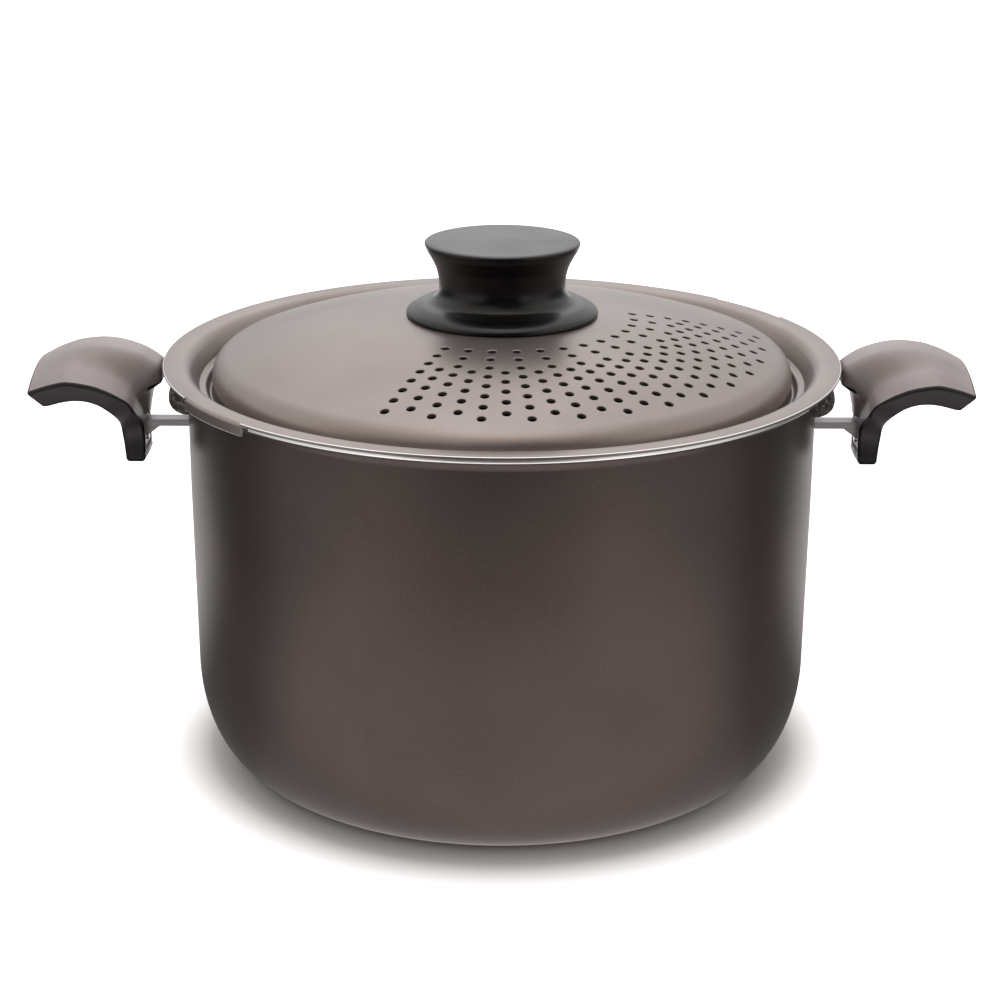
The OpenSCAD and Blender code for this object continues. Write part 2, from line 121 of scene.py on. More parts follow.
# Lock lugs, whose width and stop are in degrees
LUG_HALF = 9.5
LUG_STOP = 0.7
LUG_SINK = 0.3 * MM
LUG_BELLY_H = 6.5 * MM
LUG_SHOULDER_W = 1.6 * MM
LUG_SHOULDER_H = 3.1 * MM
LUG_TOP_GAP = 0.3 * MM
LUG_RIM_GAP = 0.1 * MM
LUG_TAB_GAP = 0.6 * MM
SLOT_GAP = 0.5 * MM

# Handles. Each fans out from a line at FAN_Z to FAN_HALF degrees on either side. Its raised middle is
# full to LOBE_HALF degrees and gone at LOBE_END. The rest is in mm: half widths, heights over the rim
# and lines of (out, up) from the leg's inner face and the rim's height. The edge lines run along the
# sides of a grip, the middle lines over its raised middle and the last one along the finger side.
LEG_X = WALL_R + 16.5 * MM
FAN_Z = POT_TOP - 68.7 * MM
FAN_HALF = 24.5
LOBE_HALF = 5.0
LOBE_END = 15.0
LEG_HALF = 8.5
FOOT_FLARE = 3.0
WAIST_SPAN = (-9, -24)
FOOT_SPAN = (-33, -36.6)
NEAR_FOOT = 0.3
EDGE_TOP = [(42.6, -1.6), (35.6, 1.3), (30.6, 2.9), (25.9, 3.6), (17.6, 1.9), (12.4, -0.5),
            (8.6, -2.9), (4.8, -6), (3.5, -7.8), (2.9, -8.9)]
EDGE_LEG = [(2.5, -10.2), (2.2, -11.8), (1.9, -14), (1.4, -17), (1, -21), (0.9, -26),
            (0.9, -34), (0.4, -41.5)]
MIDDLE_TOP = [(42.6, -1.6), (35.6, 2.2), (30.6, 4.2), (25.9, 5.6), (18.6, 6.5), (12.6, 6.2),
              (6.3, 4.8), (0.3, 2.45), (-5.2, -1.2), (-6.4, -2.8)]
MIDDLE_LEG = [(-6.4, -9.2), (-3.6, -9.2), (-2.4, -11.2), (-1.5, -14.5), (-0.7, -19), (-0.2, -24),
              (0.3, -33), (0.6, -41.5)]
GRIP_UNDER = [(7.6, -41.5), (9.6, -26), (10.4, -18.5), (12.8, -10.6), (18, -6.6), (23.7, -5.5),
              (29.2, -6.3), (34.7, -8.1), (36.9, -8.1)]
GRIP_EASE = 1.4 * MM
POCKET_GAP = 0.05 * MM
WELL_R = 4.3 * MM
WELL_DEPTH = 12 * MM

# Knob, whose side is a curve through its foot's (inset, height over the dome), then the waist's and
# the head's (step from the waist or the rim, share of the height), all steps in mm
WAIST_R = 24.4 * MM
KNOB_RIM_R = 29.9 * MM
KNOB_FOOT = [(0, 0.65), (0.2, 1.7), (1.6, 2.8), (5, 4.1)]
KNOB_WAIST = [(0.8, 0.24), (0, 0.36), (0.3, 0.5), (1.3, 0.64)]
KNOB_HEAD = [(-2.3, 0.78), (-0.7, 0.88), (0, 0.945), (-0.3, 0.975)]
NECK_OUT = 3.2 * MM
NECK_DROP = 2 * MM
NECK_SHARE = 0.22
KNOB_SEAT = 0.05 * MM
KNOB_FOOT_EASE = 0.7 * MM
KNOB_RING_W = 6 * MM
KNOB_RING_LEAN = 0.5 * MM
KNOB_RECESS = 1.5 * MM
KNOB_TOP_EASE = (1.4 * MM, 0.35 * MM)
KNOB_CREASE = 0.55 * MM
CREASE_SOFT = 1.6 * MM
CREASE_FADE = 4 * MM

# Fineness of the meshes, as counts along an arc or round a circle, or as lengths in metres
SEGMENTS = 288
CROWN_STEPS = 12
HOLE_SIDES = 24
HOLE_MARGIN = 0.5 * MM
SHEET_STEP = 2.6 * MM
FACE_STEPS = 14
GRIP_STEPS = 44
SLOT_STEPS = 40
SAME_POINT = 2e-6
NO_LENGTH = 1e-7

# Numbers of the materials on a pot or lid, and on a handle
COAT, BARE_AND_HIGHLIGHT, HOLE_SHADE = 0, 1, 2
SKIN, EDGE_SHADE, END_SHADE = 0, 1, 2

# Camera: the picture's width, the focal length and the place where the middle of the flange's top is
# seen, all in pixels, then how high, how tilted and how far from there it stands
PICTURE = 1000
FOCAL = 2305.3
SEEN = (501.31, 354.65)
ELEVATION = math.radians(15.31)
ROLL = math.radians(0.25)
DISTANCE = 0.9

# Height on the axis that the lamps are aimed at
LAMP_AIM_Z = 0.09


# Outlines, as points in a plane

def unit(v):
    return v / np.linalg.norm(v)


def corner(a, p, b, r, steps):
    """Points of an arc that rounds the corner p between a and b."""
    u, v = unit(p - a), unit(b - p)
    side = 1 if u[0] * v[1] - u[1] * v[0] > 0 else -1
    turn = math.acos(max(-1, min(1, float(u @ v))))
    start = p - u * r * math.tan(turn / 2)
    centre = start + side * r * np.array([-u[1], u[0]])
    first = math.atan2(start[1] - centre[1], start[0] - centre[0])
    angles = [first + side * turn * i / steps for i in range(steps + 1)]
    return [centre + r * np.array([math.cos(t), math.sin(t)]) for t in angles]


def rounded(points, radii, steps=8):
    """A polyline whose inner corners are rounded by the radii given."""
    p = [np.array(q, float) for q in points]
    out = [p[0]]
    for i in range(1, len(p) - 1):
        out += corner(p[i - 1], p[i], p[i + 1], radii[i], steps) if radii[i] else [p[i]]
    return out + [p[-1]]


def spline(points, steps=4):
    """A smooth curve through the points."""
    p = [np.array(q, float) for q in points]
    out = []
    for i in range(len(p) - 1):
        a, b, c, d = p[max(i - 1, 0)], p[i], p[i + 1], p[min(i + 2, len(p) - 1)]
        for j in range(steps):
            t = j / steps
            out.append((2 * b + (c - a) * t + (2 * a - 5 * b + 4 * c - d) * t**2
                        + (3 * b - a - 3 * c + d) * t**3) / 2)
    return out + [p[-1]]


def arc(centre, radii, start, end, steps):
    """Points of an upright ellipse from one angle to another."""
    angles = [math.radians(start + (end - start) * i / steps) for i in range(steps + 1)]
    return [(centre[0] + radii[0] * math.cos(t), centre[1] + radii[1] * math.sin(t))
            for t in angles]


def sheet_sides(path, thickness):
    """The two faces of a sheet whose middle line is the path: left of it, then right of it."""
    p = [np.array(q, float) for q in path]
    left, right = [], []
    for i, q in enumerate(p):
        v = unit(p[min(i + 1, len(p) - 1)] - p[max(i - 1, 0)])
        n = np.array([-v[1], v[0]]) * thickness / 2
        left.append(q + n)
        right.append(q - n)
    return left, right


def smooth_step(t):
    """Rises gently from 0 to 1."""
    t = min(1, max(0, t))
    return t * t * (3 - 2 * t)


# Meshes

def make_object(name, verts, faces, material_of=None, sharp=35):
    """An object from points and faces, with doubles merged and edges sharp above an angle."""
    mesh = bpy.data.meshes.new(name)
    mesh.from_pydata(verts, [], faces)
    if material_of is not None:
        mesh.polygons.foreach_set("material_index", material_of)
    bm = bmesh.new()
    bm.from_mesh(mesh)
    bmesh.ops.remove_doubles(bm, verts=bm.verts, dist=SAME_POINT)
    bmesh.ops.dissolve_degenerate(bm, edges=bm.edges, dist=NO_LENGTH)
    bmesh.ops.recalc_face_normals(bm, faces=bm.faces)
    bm.to_mesh(mesh)
    bm.free()
    finish_mesh(mesh, sharp)
    return link_object(name, mesh)


def link_object(name, data):
    obj = bpy.data.objects.new(name, data)
    bpy.context.scene.collection.objects.link(obj)
    return obj


def finish_mesh(mesh, sharp):
    mesh.polygons.foreach_set("use_smooth", [True] * len(mesh.polygons))
    mesh.set_sharp_from_angle(angle=math.radians(sharp))
    mesh.update()


def settle(obj, sharp):
    """Turns what the modifiers make into the object's own mesh."""
    shown = obj.evaluated_get(bpy.context.evaluated_depsgraph_get())
    mesh = bpy.data.meshes.new_from_object(shown)
    obj.modifiers.clear()
    obj.data = mesh
    finish_mesh(mesh, sharp)


def carve(obj, cutters):
    """Cuts other objects out of one and removes them."""
    for cutter in cutters:
        cut = obj.modifiers.new("cut", "BOOLEAN")
        cut.operation = "DIFFERENCE"
        cut.solver = "EXACT"
        cut.object = cutter
    settle(obj, sharp=38)
    for cutter in cutters:
        bpy.data.objects.remove(cutter)


def soften(obj, width, segments, angle):
    """A bevel on the edges that are sharper than an angle."""
    bevel = obj.modifiers.new("ease", "BEVEL")
    bevel.width = width
    bevel.segments = segments
    bevel.limit_method = "ANGLE"
    bevel.angle_limit = math.radians(angle)
    return bevel


def wear(obj, materials):
    """Puts materials on an object, in the order of their numbers."""
    for material in materials:
        obj.data.materials.append(material)


def weave(columns, around=True, closed=False):
    """Points and quads between columns of points, which go round and may themselves be closed."""
    n = len(columns[0])
    verts = [p for column in columns for p in column]
    last = len(columns) if around else len(columns) - 1
    faces, cells = [], []
    for i in range(last):
        for j in range(n if closed else n - 1):
            a, b = i * n + j, i * n + (j + 1) % n
            c, d = (a + n) % len(verts), (b + n) % len(verts)
            faces.append((a, b, d, c))
            cells.append((i, j))
    return verts, faces, cells


def turned(outline, angle):
    """An outline of (radius, height) at an angle from +X, in degrees."""
    t = math.radians(angle)
    return [(r * math.cos(t), r * math.sin(t), z) for r, z in outline]


def revolved(outline):
    """The outline at even steps all round the axis."""
    return [turned(outline, 360 * i / SEGMENTS) for i in range(SEGMENTS)]


def azimuths(marks, clear=0.2, hair=1e-6):
    """Angles round the axis: an even spread, with each mark twice, just before and just after."""
    even = [360 * i / SEGMENTS for i in range(SEGMENTS)]
    kept = [a for a in even if all(abs((a - m + 180) % 360 - 180) > clear for m in marks)]
    return sorted(kept + [m % 360 + side * hair for m in marks for side in (-1, 1)])


def from_handle(angle):
    """An angle from the nearer handle, towards the front on the left and the back on the right."""
    a = (angle - 180) % 180
    return a if a < 90 else a - 180


def block(low, high):
    """A closed box between two corners."""
    verts = [(x, y, z) for x in (low[0], high[0]) for y in (low[1], high[1])
             for z in (low[2], high[2])]
    faces = [(0, 1, 3, 2), (4, 6, 7, 5), (0, 4, 5, 1), (2, 3, 7, 6), (0, 2, 6, 4), (1, 5, 7, 3)]
    return make_object("cutter_block", verts, faces)


def tube(x0, x1, z, r, sides=48):
    """A closed cylinder along X."""
    turns = [2 * math.pi * k / sides for k in range(sides)]
    columns = [[(x, r * math.sin(t), z + r * math.cos(t)) for x in (x0, x1)] for t in turns]
    verts, faces, _ = weave(columns)
    faces += [tuple(range(0, 2 * sides, 2)), tuple(range(1, 2 * sides, 2))]
    return make_object("cutter_tube", verts, faces)


# Pot

def build_pot(looks):
    """The drawn pot, with its rim cut back beside the handles and its lip left bare."""
    low_r = WALL_R - DRAFT
    roll = (WALL_R - WALL_T + RIM_ROLL_R, POT_TOP - RIM_ROLL_R)
    outer_roll_r = RIM_ROLL_R - WALL_T
    inside = ([(0, BASE_T), (low_r - CORNER_W, BASE_T)]
              + arc((low_r - CORNER_W, CORNER_H), (CORNER_W - WALL_T, CORNER_H - BASE_T), -90, 0, 24)
              + [(WALL_R - WALL_T, POT_TOP - STRAIGHT_H)]
              + arc(roll, (RIM_ROLL_R, RIM_ROLL_R), 180, 90, 14))
    lip_x, eased = RIM_R - RIM_EASE, (RIM_EASE, RIM_EASE)
    lip = ([(lip_x, POT_TOP)] + arc((lip_x, POT_TOP - RIM_EASE), eased, 80, 0, 3)
           + arc((lip_x, POT_TOP - RIM_T + RIM_EASE), eased, 0, -80, 3) + [(lip_x, POT_TOP - RIM_T)])
    outside = (arc(roll, (outer_roll_r, outer_roll_r), 90, 180, 12)
               + [(WALL_R, POT_TOP - STRAIGHT_H)]
               + arc((low_r - CORNER_W, CORNER_H), (CORNER_W, CORNER_H), 0, -90, 28)
               + [(0, 0)])
    full = inside + lip + outside
    reach = RIM_STUB_R - roll[0]
    stub = [roll[1] + math.sqrt(r**2 - reach**2) for r in (RIM_ROLL_R, outer_roll_r)]
    cut = cut_back(full, *stub)
    marks = [180 - CUT_AFT, 180 + CUT_FORE, -CUT_AFT % 360, CUT_FORE]
    columns = [turned(cut if -CUT_AFT < from_handle(a) < CUT_FORE else full, a)
               for a in azimuths(marks)]
    verts, faces, cells = weave(columns, closed=True)
    bare = range(len(inside) + 1, len(inside) + len(lip) - 2)
    pot = make_object("pot_shell", verts, faces, [BARE_AND_HIGHLIGHT if j in bare else COAT for _, j in cells])
    wear(pot, [looks["pot_coat"], looks["bare_edge_and_painted_highlight"]])
    return pot


def cut_back(points, high, low):
    """The pot's outline with its rim cut away, with as many points as before."""
    past = [i for i, (r, z) in enumerate(points) if r > RIM_STUB_R]
    out = list(points)
    for k, i in enumerate(past):
        share = k / (len(past) - 1)
        out[i] = (RIM_STUB_R, high + (low - high) * share)
    return out


# Lid

def lid_curve():
    """The dome's outer radius, and the middle line of the sheet from there to the rim's edge."""
    mid_z = FLANGE_TOP - LID_T / 2
    well_x = WALL_R - WALL_T + RIM_ROLL_R - WELL_OFF * math.sin(WELL_SLOPE)
    well_y = POT_TOP - RIM_ROLL_R + WELL_OFF * math.cos(WELL_SLOPE)
    bend_x = well_x + (mid_z - well_y) / math.tan(WELL_SLOPE)
    ledge_z = mid_z - LEDGE_DROP
    ledge_x = bend_x - LEDGE_DROP / math.tan(WELL_SLOPE)
    wall_r = ledge_x - LEDGE_W - GROOVE_W
    edge = wall_r - SHOULDER_W
    slope = (dome_z(edge, edge) - dome_z(edge - MM / 2, edge)) / (MM / 2)
    shoulder = (wall_r, dome_z(edge, edge) - LID_T / 2 + slope * (wall_r - edge))
    groove_z = ledge_z - GROOVE_DROP
    points = [(edge, dome_z(edge, edge) - LID_T / 2), shoulder, (wall_r, groove_z),
              (wall_r + GROOVE_W, groove_z), (wall_r + GROOVE_W + LEDGE_LEAN, ledge_z),
              (ledge_x, ledge_z), (bend_x, mid_z), (LID_R, mid_z)]
    radii = [0, SHOULDER_R, GROOVE_BEND_R, GROOVE_BEND_R, LEDGE_BEND_R, LEDGE_BEND_R,
             FLANGE_BEND_R, 0]
    return edge, rounded(points, radii)


def dome_z(r, edge):
    """Height of the dome's upper face at a radius."""
    s = r / edge
    fall = (1 - DOME_QUARTIC) * s**2 + DOME_QUARTIC * s**4
    return FLANGE_TOP + DOME_RISE - DOME_FALL * fall


def strainer_holes():
    """Centres of the holes: long rows with short rows between them."""
    middle = 270 + STRAINER_TURN
    centres = []
    for i in range(2 * LONG_ROWS - 1):
        count, first = (LONG_HOLES, FIRST_RING) if i % 2 == 0 else (SHORT_HOLES, SHORT_RING)
        t = math.radians(middle + (i / 2 - (LONG_ROWS - 1) / 2) * ROW_STEP)
        radii = [first + j * HOLE_PITCH for j in range(count)]
        centres += [(r * math.cos(t), r * math.sin(t)) for r in radii]
    return centres


def circle(cx, cy, r, n):
    turns = [2 * math.pi * k / n for k in range(n)]
    return [(cx + r * math.cos(t), cy + r * math.sin(t)) for t in turns]


def sheet_points(r_in, r_out, centres, hole_r):
    """Points spread evenly between two circles, clear of the holes."""
    rings = round((r_out - r_in) / SHEET_STEP)
    points = []
    for i in range(1, rings):
        r = r_in + (r_out - r_in) * i / rings
        n = round(2 * math.pi * r / SHEET_STEP)
        for k in range(n):
            t = 2 * math.pi * (k + i % 2 / 2) / n
            p = np.array((r * math.cos(t), r * math.sin(t)))
            if np.min(np.linalg.norm(centres - p, axis=1)) > hole_r + HOLE_MARGIN:
                points.append(tuple(p))
    return points


def perforated_ring(r_in, r_out, hole_r):
    """Flat triangles between two circles, with round holes left open, and each hole's corners."""
    centres = np.array(strainer_holes())
    loops = [circle(0, 0, r_out, SEGMENTS), circle(0, 0, r_in, SEGMENTS)]
    loops += [circle(cx, cy, hole_r, HOLE_SIDES) for cx, cy in centres]
    points, edges, rims = [], [], []
    for loop in loops:
        ids = [len(points) + k for k in range(len(loop))]
        points += loop
        edges += zip(ids, ids[1:] + ids[:1])
        rims.append(ids)
    points += sheet_points(r_in, r_out, centres, hole_r)
    flat, _, faces, origins, _, _ = delaunay_2d_cdt([Vector(p) for p in points], edges, [], 0,
                                                    NO_LENGTH)
    flat = np.array([tuple(p) for p in flat])
    place = {source: i for i, sources in enumerate(origins) for source in sources}
    inner = math.cos(math.pi / HOLE_SIDES) * hole_r
    kept = []
    for face in faces:
        middle = flat[list(face)].mean(axis=0)
        off_axis = np.linalg.norm(middle)
        in_ring = r_in < off_axis / math.cos(math.pi / SEGMENTS) and off_axis < r_out
        if in_ring and np.min(np.linalg.norm(centres - middle, axis=1)) > inner:
            kept.append(tuple(face))
    return flat, kept, [[place[i] for i in rim] for rim in rims[2:]]


def strainer_patches(edge):
    """The dome's two faces round the holes, then the lips and walls of the holes."""
    patches, rims = [], []
    for hole_r, drop in ((HOLE_R + HOLE_LIP, 0), (HOLE_R, LID_T)):
        flat, kept, loops = perforated_ring(CROWN_R, edge, hole_r)
        lifted = [(x, y, dome_z(math.hypot(x, y), edge) - drop) for x, y in flat]
        patches.append((lifted, kept, [COAT] * len(kept)))
        rims.append([[lifted[i] for i in loop] for loop in loops])
    for high, low in zip(*rims):
        columns = [[a, (b[0], b[1], a[2] - HOLE_LIP), b] for a, b in zip(high, low)]
        verts, faces, cells = weave(columns)
        # Painted shade: the holes' walls wear a darker copy of the coat.
        patches.append((verts, faces, [HOLE_SHADE if j else COAT for _, j in cells]))
    return patches


def crown_patch(edge):
    """The dome's middle, which has no hole but the screw's."""
    radii = [BORE_R + (CROWN_R - BORE_R) * i / CROWN_STEPS for i in range(CROWN_STEPS + 1)]
    outline = ([(r, dome_z(r, edge)) for r in reversed(radii)]
               + [(r, dome_z(r, edge) - LID_T) for r in radii])
    verts, faces, _ = weave(revolved(outline))
    return verts, faces, [COAT] * len(faces)


def flange_edges():
    """The flange's edge where it is plain, where it bends down into a tab and where the tab has a
    hook: its outline, always with as many points, and which of its faces are bare. On the plain edge
    the bare faces are the eased top corner, a painted highlight line along the coated edge."""
    corner_x, under = LID_R - FLANGE_EASE, FLANGE_TOP - LID_T
    tab_in = LID_R - LID_T
    hook_in = tab_in - HOOK_REACH
    bend = arc((LID_R - TAB_BEND_R, FLANGE_TOP - TAB_BEND_R), (TAB_BEND_R, TAB_BEND_R), 90, 0, 8)
    tab_edge = [(LID_R, TAB_LOW + FLANGE_EASE), (corner_x, TAB_LOW)]
    hook_edge = [(hook_in, TAB_LOW), (hook_in, TAB_LOW + LID_T), (tab_in, TAB_LOW + LID_T)]
    inner_bend_r = TAB_BEND_R - LID_T
    inner_bend = arc((tab_in - inner_bend_r, under - inner_bend_r),
                     (inner_bend_r, inner_bend_r), 0, 90, 4)
    eased = arc((corner_x, FLANGE_TOP - FLANGE_EASE), (FLANGE_EASE, FLANGE_EASE), 60, 0, 2)
    lead = len(bend) - len(eased)
    plain = ([(corner_x, FLANGE_TOP)] * lead + eased + [(LID_R, under + FLANGE_EASE)] * len(tab_edge)
             + [(corner_x, under)] * (len(hook_edge) + len(inner_bend)))
    # Painted highlight: the plain edge's eased top corner is bright bare metal, a highlight line on the
    # coated edge.
    painted_highlight_plain = range(lead - 1, lead - 1 + len(eased))
    bare_tab = range(len(bend), len(bend) + len(tab_edge))
    return {"plain": (plain, painted_highlight_plain),
            "tab": (bend + tab_edge + [(tab_in, TAB_LOW)] * len(hook_edge) + inner_bend, bare_tab),
            "hook": (bend + tab_edge + hook_edge + inner_bend, bare_tab)}


def flange_patch(edge, curve):
    """The sheet outside the dome: shoulder, groove, ledge and flange, with its tabs and hooks."""
    top, under = sheet_sides(curve, LID_T)
    top = [(edge, dome_z(edge, edge))] + top[1:-1]
    under = [(edge, dome_z(edge, edge) - LID_T)] + under[1:-1]
    kinds = flange_edges()
    marks = [side + TAB_START + span for side in (180, 0) for span in (0, TAB_SPAN, HOOK_SPAN)]
    columns, bare = [], []
    before = "plain"
    for a in azimuths(marks):
        kind = "plain"
        if TAB_START < from_handle(a) < TAB_START + TAB_SPAN:
            kind = "hook" if from_handle(a) < TAB_START + HOOK_SPAN else "tab"
        # Where the hook starts, a tab's outline comes first, so that the end face stays flat.
        for shown in (["tab", kind] if (before, kind) == ("plain", "hook") else [kind]):
            outline, bare_part = kinds[shown]
            columns.append(turned(top + outline + under[::-1], a))
            bare.append(bare_part)
        before = kind
    verts, faces, cells = weave(columns)
    ends = [part != bare[(i + 1) % len(bare)] for i, part in enumerate(bare)]
    return verts, faces, [BARE_AND_HIGHLIGHT if ends[i] or j - len(top) in bare[i] else COAT for i, j in cells]


def build_lid(looks):
    edge, curve = lid_curve()
    verts, faces, tones = [], [], []
    for patch in strainer_patches(edge) + [crown_patch(edge), flange_patch(edge, curve)]:
        base = len(verts)
        verts += patch[0]
        faces += [tuple(base + i for i in face) for face in patch[1]]
        tones += patch[2]
    lid = make_object("lid_shell", verts, faces, tones, sharp=26)
    wear(lid, [looks["lid_coat"], looks["bare_edge_and_painted_highlight"], looks["hole_coat_painted_shade"]])
    return lid


# Knob

def knob_side(edge):
    """The curve from the foot on the dome, in to the waist and out to the top's rim."""
    base, h = DOME_TOP, KNOB_TOP - DOME_TOP
    foot = [(KNOB_FOOT_R - inset * MM, dome_z(KNOB_FOOT_R - inset * MM, edge) + up * MM)
            for inset, up in KNOB_FOOT]
    neck = (WAIST_R + NECK_OUT, base + h * NECK_SHARE - NECK_DROP)
    waist = [(WAIST_R + out * MM, base + h * share) for out, share in KNOB_WAIST]
    head = [(KNOB_RIM_R + out * MM, base + h * share) for out, share in KNOB_HEAD]
    inset, drop = KNOB_TOP_EASE
    return spline(foot + [neck] + waist + head + [(KNOB_RIM_R - inset, base + h - drop)], 5)


def knob_dip(y):
    """Depth of the top's two shallow faces either side of the crease, which is softly rounded."""
    return KNOB_CREASE * (math.sqrt(y**2 + CREASE_SOFT**2) - CREASE_SOFT) / KNOB_RIM_R


def build_knob(looks):
    """The knob's turned side, foot and top, whose face has a shallow crease from side to side."""
    edge = lid_curve()[0]
    side = knob_side(edge)
    face_r = KNOB_RIM_R - KNOB_TOP_EASE[0]
    face = [(face_r * (1 - i / FACE_STEPS), KNOB_TOP) for i in range(1, FACE_STEPS + 1)]
    ring_r, recess_z = KNOB_FOOT_R - KNOB_RING_W, DOME_TOP + KNOB_RECESS
    under = [(0, recess_z), (ring_r - KNOB_RING_LEAN, recess_z),
             (ring_r, dome_z(ring_r, edge) + KNOB_SEAT),
             (KNOB_FOOT_R - KNOB_FOOT_EASE, dome_z(KNOB_FOOT_R, edge) + KNOB_SEAT)]
    outline = under + side + face
    verts, faces, _ = weave(revolved(outline))
    shaped = []
    for i, (x, y, z) in enumerate(verts):
        if i % len(outline) >= len(under) + len(side):
            fade = min(1, max(0, (KNOB_RIM_R - math.hypot(x, y)) / CREASE_FADE))
            z -= knob_dip(y) * fade
        shaped.append((x, y, z))
    knob = make_object("knob_body", shaped, faces)
    wear(knob, [looks["knob_plastic"]])
    return knob


# Handles

def half_at(up):
    """Half width of a handle at a height over the rim: the fan's, then the leg's waist and foot."""
    waist = smooth_step((WAIST_SPAN[0] - up) / (WAIST_SPAN[0] - WAIST_SPAN[1]))
    fan = ((POT_TOP - FAN_Z) / MM + up) * math.sin(math.radians(FAN_HALF))
    foot = FOOT_FLARE * smooth_step((FOOT_SPAN[0] - up) / (FOOT_SPAN[0] - FOOT_SPAN[1]))
    return (fan * (1 - waist) + LEG_HALF * waist + foot) * MM


def cut_at(line, low):
    """A line of (out, up) points that comes down past a height, ended where it crosses it."""
    kept = [p for p in line if p[1] > low + NEAR_FOOT]
    a, b = kept[-1], line[len(kept)]
    return kept + [a + (b - a) * (low - a[1]) / (b[1] - a[1])]


def shares_of(line):
    """How far along a line each of its points lies, from 0 to 1."""
    steps = np.linalg.norm(np.diff(line, axis=0), axis=1)
    return np.concatenate([[0], np.cumsum(steps)]) / steps.sum()


def at_shares(line, shares):
    """Points of a line at shares of its length."""
    along = shares_of(line)
    return np.stack([np.interp(shares, along, np.array(line)[:, k]) for k in (0, 1)], axis=1)


def fan_ring(angle):
    """The left handle's outline in the plane that leans by an angle: the outer side down to the
    foot, then as many points of the finger side back up to the tip."""
    t = math.radians(angle)
    share = 1 - smooth_step((abs(angle) - LOBE_HALF) / (LOBE_END - LOBE_HALF))
    edge = np.array(spline(EDGE_TOP) + [np.array(p, float) for p in EDGE_LEG])
    middle = np.array(spline(MIDDLE_TOP) + [np.array(p, float) for p in MIDDLE_LEG])
    radius = (POT_TOP - FAN_Z) / MM
    low = (FOOT_Z - FAN_Z) / MM / math.cos(t) - radius
    outer = np.array(cut_at(list(edge + (middle - edge) * share), low))
    finger = at_shares(cut_at(spline(GRIP_UNDER)[::-1], low), shares_of(outer))[::-1]
    across = math.sin(t) / math.sin(math.radians(FAN_HALF))
    return [(-LEG_X - out * MM, half_at(up) * across, FAN_Z + (radius + up) * MM * math.cos(t))
            for out, up in np.concatenate([outer, finger])]


def build_handle(looks, turn, name, node):
    """A grip swept through outlines that fan out from a line below it, with its pocket and well,
    made on the left and turned about the pot's axis."""
    rings = [fan_ring(FAN_HALF * (2 * i / GRIP_STEPS - 1)) for i in range(GRIP_STEPS + 1)]
    verts, faces, _ = weave(rings, around=False, closed=True)
    n = len(rings[0])
    ends = [(base + k, base + k + 1, base + n - 2 - k, base + n - 1 - k)
            for base in (0, GRIP_STEPS * n) for k in range(n // 2 - 1)]
    # The grip's two flat ends wear painted shade, a dark copy of the skin's plastic.
    tones = [SKIN] * len(faces) + [END_SHADE] * len(ends)
    grip = make_object(name, verts, faces + ends, tones, sharp=42)
    wear(grip, [looks["handle_plastic"], looks["handle_edge_painted_shade"], looks["handle_end_painted_shade"]])
    rounding = soften(grip, GRIP_EASE, segments=4, angle=50)
    rounding.use_clamp_overlap = False
    # The bevel's faces wear painted shade, a near-black line along the grip's edges.
    rounding.material = EDGE_SHADE
    low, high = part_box("bracket_left")
    pocket = block([c - POCKET_GAP for c in low],
                   [-WALL_R, high.y + POCKET_GAP, high.z + POCKET_GAP])
    carve(grip, [pocket, tube(-SEAT_X - WELL_DEPTH, -SEAT_X, SCREW_Z, WELL_R)])
    grip.data.transform(Matrix.Rotation(turn, 4, "Z"))
    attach(grip, "pot")
    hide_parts(node)


# Lock lugs

def lug_outlines():
    """A lug's outline across its slot, and across the stop at the slot's end."""
    rim_side = RIM_STUB_R + LUG_RIM_GAP
    roll_z = POT_TOP - RIM_ROLL_R - LUG_RIM_GAP
    top_z = POT_TOP - LUG_TOP_GAP
    belly_z = LUG_LOW + LUG_BELLY_H
    tab_side = LID_R - LID_T - LUG_TAB_GAP
    slot_r = LID_R - LID_T - HOOK_REACH - SLOT_GAP
    slot_low, slot_high = TAB_LOW - SLOT_GAP, TAB_LOW + LID_T + SLOT_GAP
    low = [(WALL_R - LUG_SINK, roll_z), (WALL_R - LUG_SINK, LUG_LOW)]
    low += arc((WALL_R, belly_z), (LUG_R - WALL_R, belly_z - LUG_LOW), -90, 0, 14)
    low += [(LUG_R - LUG_SHOULDER_W, belly_z + LUG_SHOULDER_H)]
    high = [(tab_side, top_z), (rim_side, top_z), (rim_side, roll_z)]
    slot = [(slot_r, slot_low), (slot_r, slot_high), (tab_side, slot_high)]
    return low + slot + high, low + [(tab_side, slot_low)] * len(slot) + high


def build_lug(looks, angle, name, node):
    """A rounded lug on the wall, with the slot that a hook of the lid slides into."""
    open_slot, stop = lug_outlines()
    slot_end, slot_span = LUG_STOP - LUG_HALF, 2 * LUG_HALF - LUG_STOP
    turns = [(-LUG_HALF + LUG_STOP * share, stop) for share in (0, 0.5, 1)]
    turns += [(slot_end + slot_span * i / SLOT_STEPS, open_slot) for i in range(SLOT_STEPS + 1)]
    columns = [turned(outline, angle + a) for a, outline in turns]
    verts, faces, _ = weave(columns, around=False, closed=True)
    n = len(open_slot)
    faces += [tuple(range(n)), tuple(range(len(verts) - n, len(verts)))]
    lug = make_object(name, verts, faces)
    wear(lug, [looks["lug_cast"]])
    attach(lug, "pot")
    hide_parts(node)


# Nodes of materials

def new_material(name):
    material = bpy.data.materials.new(name)
    material.use_nodes = True
    return material, material.node_tree, material.node_tree.nodes["Principled BSDF"]


def add_node(tree, kind, settings=(), **inputs):
    """A node with its settings made and its inputs set or linked."""
    made = tree.nodes.new(kind)
    for key, value in dict(settings).items():
        setattr(made, key, value)
    for key, value in inputs.items():
        feed(tree, made.inputs[key.replace("_", " ")], value)
    return made


